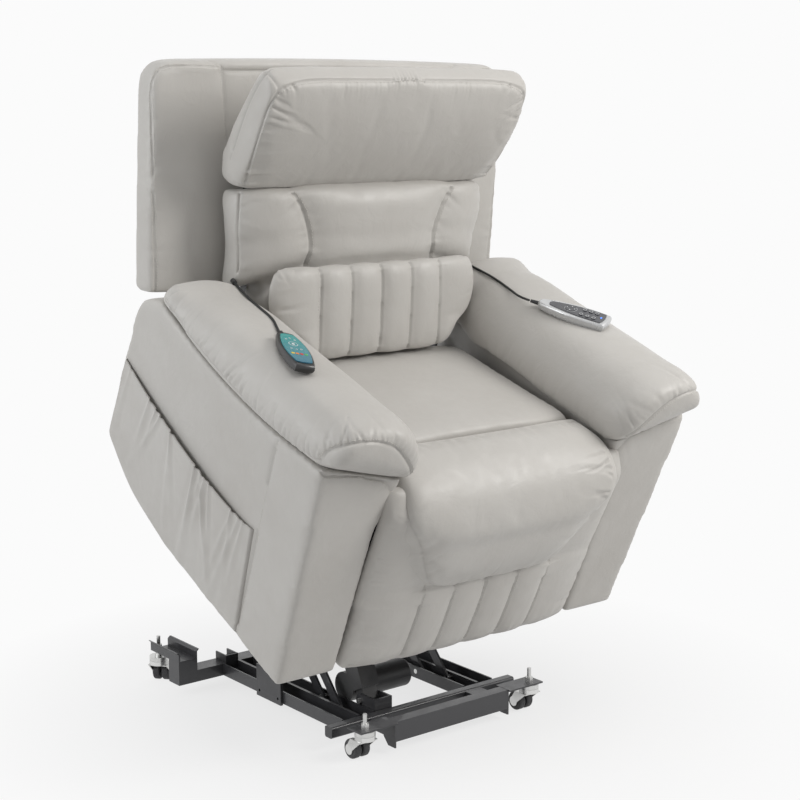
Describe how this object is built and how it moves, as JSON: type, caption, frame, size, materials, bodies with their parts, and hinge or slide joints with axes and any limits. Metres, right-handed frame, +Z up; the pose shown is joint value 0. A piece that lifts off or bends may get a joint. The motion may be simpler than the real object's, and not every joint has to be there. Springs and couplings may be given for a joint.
{
  "type": "power lift recliner chair",
  "caption": "Power lift recliner shown raised and tilted forward on a steel lift base, with padded back, headrest, arms and footrest and two corded controls.",
  "frame": {"origin": "centre of the bounding box on the floor, under the raised chair", "axes": "+X to the right as seen from the front, +Y to the back (the chair faces -Y), +Z up"},
  "size_m": [0.8934, 0.9024, 1.2857],
  "materials": {
    "cover": "semi-matt grained faux leather",
    "frame_black": "satin powder coat",
    "zinc": "bright zinc plate",
    "caster_tyre": "matt",
    "motor_case": "satin",
    "plywood": "bare",
    "control_silver": "silver paint",
    "control_dark": "semi-gloss",
    "remote_black": "semi-gloss",
    "remote_teal": "printed film",
    "cord_black": "matt"
  },
  "bodies": {
    "base": {"front_caster_bar": "frame_black", "caster_brackets": "frame_black", "front_cross_tube": "frame_black", "side_rails": "frame_black", "pivot_pins": "zinc", "rear_crossbar": "frame_black", "rear_saddles": "frame_black", "rail_uprights": "frame_black", "caster_stems": "zinc", "lift_clevis": "frame_black"},
    "caster_front_left": {"caster_fork_front_left": "zinc"},
    "wheels_front_left": {"caster_wheels_front_left": "caster_tyre"},
    "caster_front_right": {"caster_fork_front_right": "zinc"},
    "wheels_front_right": {"caster_wheels_front_right": "caster_tyre"},
    "caster_rear_left": {"caster_fork_rear_left": "zinc"},
    "wheels_rear_left": {"caster_wheels_rear_left": "caster_tyre"},
    "caster_rear_right": {"caster_fork_rear_right": "zinc"},
    "wheels_rear_right": {"caster_wheels_rear_right": "caster_tyre"},
    "front_links": {"front_lift_links": "frame_black"},
    "rear_links": {"rear_lift_links": "frame_black"},
    "carriage": {"lift_carriage": "frame_black"},
    "chair": {"seat_frame": "frame_black", "seat_cushion": "cover", "front_pad": "cover", "arm_right": "cover", "arm_left": "cover", "arm_pad_right": "cover", "arm_pad_left": "cover", "side_pocket": "cover", "hand_control_case": "control_silver", "hand_control_face": "control_dark", "massage_remote_case": "remote_black", "massage_remote_face": "remote_teal", "strain_reliefs": "cord_black", "hand_control_cord": "cord_black", "massage_cord": "cord_black"},
    "lift_actuator": {"lift_gearbox": "motor_case", "lift_motor": "motor_case", "lift_tube": "frame_black"},
    "lift_actuator_rod": {"lift_rod": "zinc"},
    "backrest": {"back_frame": "frame_black", "back_shell": "cover", "back_cushion": "cover"},
    "recline_actuator": {"recline_actuator": "frame_black"},
    "recline_actuator_rod": {"recline_actuator_rod": "zinc"},
    "footrest": {"footrest_arms": "frame_black", "footrest_board": "plywood", "footrest_cushion": "cover"},
    "footrest_actuator": {"footrest_actuator": "frame_black"},
    "footrest_actuator_rod": {"footrest_actuator_rod": "zinc"},
    "headrest": {"headrest_pillow": "cover", "headrest_bracket": "frame_black"},
    "lumbar": {"lumbar_pillow": "cover"},
    "control_pad": {"hand_control_pad": "control_dark"},
    "control_key_1": {"hand_control_key_1": "control_dark"},
    "control_key_2": {"hand_control_key_2": "control_dark"},
    "control_key_3": {"hand_control_key_3": "control_dark"},
    "control_key_4": {"hand_control_key_4": "control_dark"},
    "control_key_5": {"hand_control_key_5": "control_dark"},
    "control_key_6": {"hand_control_key_6": "control_dark"}
  },
  "joints": [
    {"name": "swivel_front_left", "type": "hinge", "parent": "base", "child": "caster_front_left", "pos_m": [-0.206, -0.2008, 0.05], "axis": [0, 0, 1], "continuous": true},
    {"name": "wheel_spin_front_left", "type": "hinge", "parent": "caster_front_left", "child": "wheels_front_left", "pos_m": [-0.206, -0.1768, 0.019], "axis": [1, 0, 0], "continuous": true},
    {"name": "swivel_front_right", "type": "hinge", "parent": "base", "child": "caster_front_right", "pos_m": [0.206, -0.2008, 0.05], "axis": [0, 0, 1], "continuous": true},
    {"name": "wheel_spin_front_right", "type": "hinge", "parent": "caster_front_right", "child": "wheels_front_right", "pos_m": [0.206, -0.1768, 0.019], "axis": [1, 0, 0], "continuous": true},
    {"name": "swivel_rear_left", "type": "hinge", "parent": "base", "child": "caster_rear_left", "pos_m": [-0.284, 0.4082, 0.05], "axis": [0, 0, 1], "continuous": true},
    {"name": "wheel_spin_rear_left", "type": "hinge", "parent": "caster_rear_left", "child": "wheels_rear_left", "pos_m": [-0.26561, 0.42363, 0.019], "axis": [0.6428, -0.766, 0], "continuous": true},
    {"name": "swivel_rear_right", "type": "hinge", "parent": "base", "child": "caster_rear_right", "pos_m": [0.284, 0.4082, 0.05], "axis": [0, 0, 1], "continuous": true},
    {"name": "wheel_spin_rear_right", "type": "hinge", "parent": "caster_rear_right", "child": "wheels_rear_right", "pos_m": [0.284, 0.4322, 0.019], "axis": [1, 0, 0], "continuous": true},
    {"name": "lift", "type": "hinge", "parent": "base", "child": "front_links", "pos_m": [0, -0.0258, 0.037], "axis": [1, 0, 0], "range_deg": [-43, 0]},
    {"name": "rear_links_follow", "type": "hinge", "parent": "base", "child": "rear_links", "pos_m": [0, 0.0442, 0.037], "axis": [1, 0, 0], "range_deg": [-43, 0]},
    {"name": "carriage_level", "type": "hinge", "parent": "front_links", "child": "carriage", "pos_m": [0, 0.1649, 0.2488], "axis": [1, 0, 0], "range_deg": [0, 43]},
    {"name": "chair_tilt", "type": "hinge", "parent": "carriage", "child": "chair", "pos_m": [0, -0.0174, 0.35352], "axis": [1, 0, 0], "range_deg": [-26, 0]},
    {"name": "lift_actuator_swing", "type": "hinge", "parent": "base", "child": "lift_actuator", "pos_m": [-0.09, -0.0608, 0.054], "axis": [1, 0, 0], "range_deg": [-38.5, 0]},
    {"name": "lift_actuator_stroke", "type": "slide", "parent": "lift_actuator", "child": "lift_actuator_rod", "axis": [0, 0.438, 0.899], "range_m": [-0.102, 0]},
    {"name": "recline", "type": "hinge", "parent": "chair", "child": "backrest", "pos_m": [0, 0.14286, 0.73209], "axis": [1, 0, 0], "range_deg": [-40, 0]},
    {"name": "recline_actuator_swing", "type": "hinge", "parent": "chair", "child": "recline_actuator", "pos_m": [0.06, -0.18269, 0.37304], "axis": [1, 0, 0], "range_deg": [0, 1.2]},
    {"name": "recline_actuator_stroke", "type": "slide", "parent": "recline_actuator", "child": "recline_actuator_rod", "axis": [0, 0.7839, 0.6209], "range_m": [-0.0545, 0]},
    {"name": "footrest_swing", "type": "hinge", "parent": "chair", "child": "footrest", "pos_m": [0, -0.26642, 0.49909], "axis": [1, 0, 0], "range_deg": [-80, 0]},
    {"name": "footrest_actuator_swing", "type": "hinge", "parent": "chair", "child": "footrest_actuator", "pos_m": [0.12, 0.15622, 0.4994], "axis": [1, 0, 0], "range_deg": [0, 4.8]},
    {"name": "footrest_actuator_stroke", "type": "slide", "parent": "footrest_actuator", "child": "footrest_actuator_rod", "axis": [0, -0.9992, -0.0403], "range_m": [0, 0.0495]},
    {"name": "headrest_tilt", "type": "hinge", "parent": "backrest", "child": "headrest", "pos_m": [0, 0.13129, 1.08198], "axis": [1, 0, 0], "range_deg": [-28, 0]},
    {"name": "lumbar_travel", "type": "slide", "parent": "backrest", "child": "lumbar", "axis": [0, -0.9969, -0.0785], "range_m": [0, 0.025]},
    {"name": "press_pad", "type": "slide", "parent": "chair", "child": "control_pad", "axis": [0.1513, 0.3348, -0.9301], "range_m": [0, 0.0008], "stiffness_N_per_m": 300},
    {"name": "press_key_1", "type": "slide", "parent": "chair", "child": "control_key_1", "axis": [0.1513, 0.3348, -0.9301], "range_m": [0, 0.0008], "stiffness_N_per_m": 200},
    {"name": "press_key_2", "type": "slide", "parent": "chair", "child": "control_key_2", "axis": [0.1513, 0.3348, -0.9301], "range_m": [0, 0.0008], "stiffness_N_per_m": 200},
    {"name": "press_key_3", "type": "slide", "parent": "chair", "child": "control_key_3", "axis": [0.1513, 0.3348, -0.9301], "range_m": [0, 0.0008], "stiffness_N_per_m": 200},
    {"name": "press_key_4", "type": "slide", "parent": "chair", "child": "control_key_4", "axis": [0.1513, 0.3348, -0.9301], "range_m": [0, 0.0008], "stiffness_N_per_m": 200},
    {"name": "press_key_5", "type": "slide", "parent": "chair", "child": "control_key_5", "axis": [0.1513, 0.3348, -0.9301], "range_m": [0, 0.0008], "stiffness_N_per_m": 200},
    {"name": "press_key_6", "type": "slide", "parent": "chair", "child": "control_key_6", "axis": [0.1513, 0.3348, -0.9301], "range_m": [0, 0.0008], "stiffness_N_per_m": 200}
  ],
  "couplings": [
    {"joint": "rear_links_follow", "follows": "lift", "ratio": 1},
    {"joint": "carriage_level", "follows": "lift", "ratio": -1},
    {"joint": "chair_tilt", "follows": "lift", "ratio": 0.60465},
    {"joint": "lift_actuator_swing", "follows": "lift", "ratio": 0.8833},
    {"joint": "lift_actuator_stroke", "follows": "lift", "m_per_rad": 0.13516},
    {"joint": "recline_actuator_swing", "follows": "recline", "ratio": -0.0278},
    {"joint": "recline_actuator_stroke", "follows": "recline", "m_per_rad": 0.07786},
    {"joint": "footrest_actuator_swing", "follows": "footrest_swing", "ratio": -0.0593},
    {"joint": "footrest_actuator_stroke", "follows": "footrest_swing", "m_per_rad": -0.03536}
  ]
}
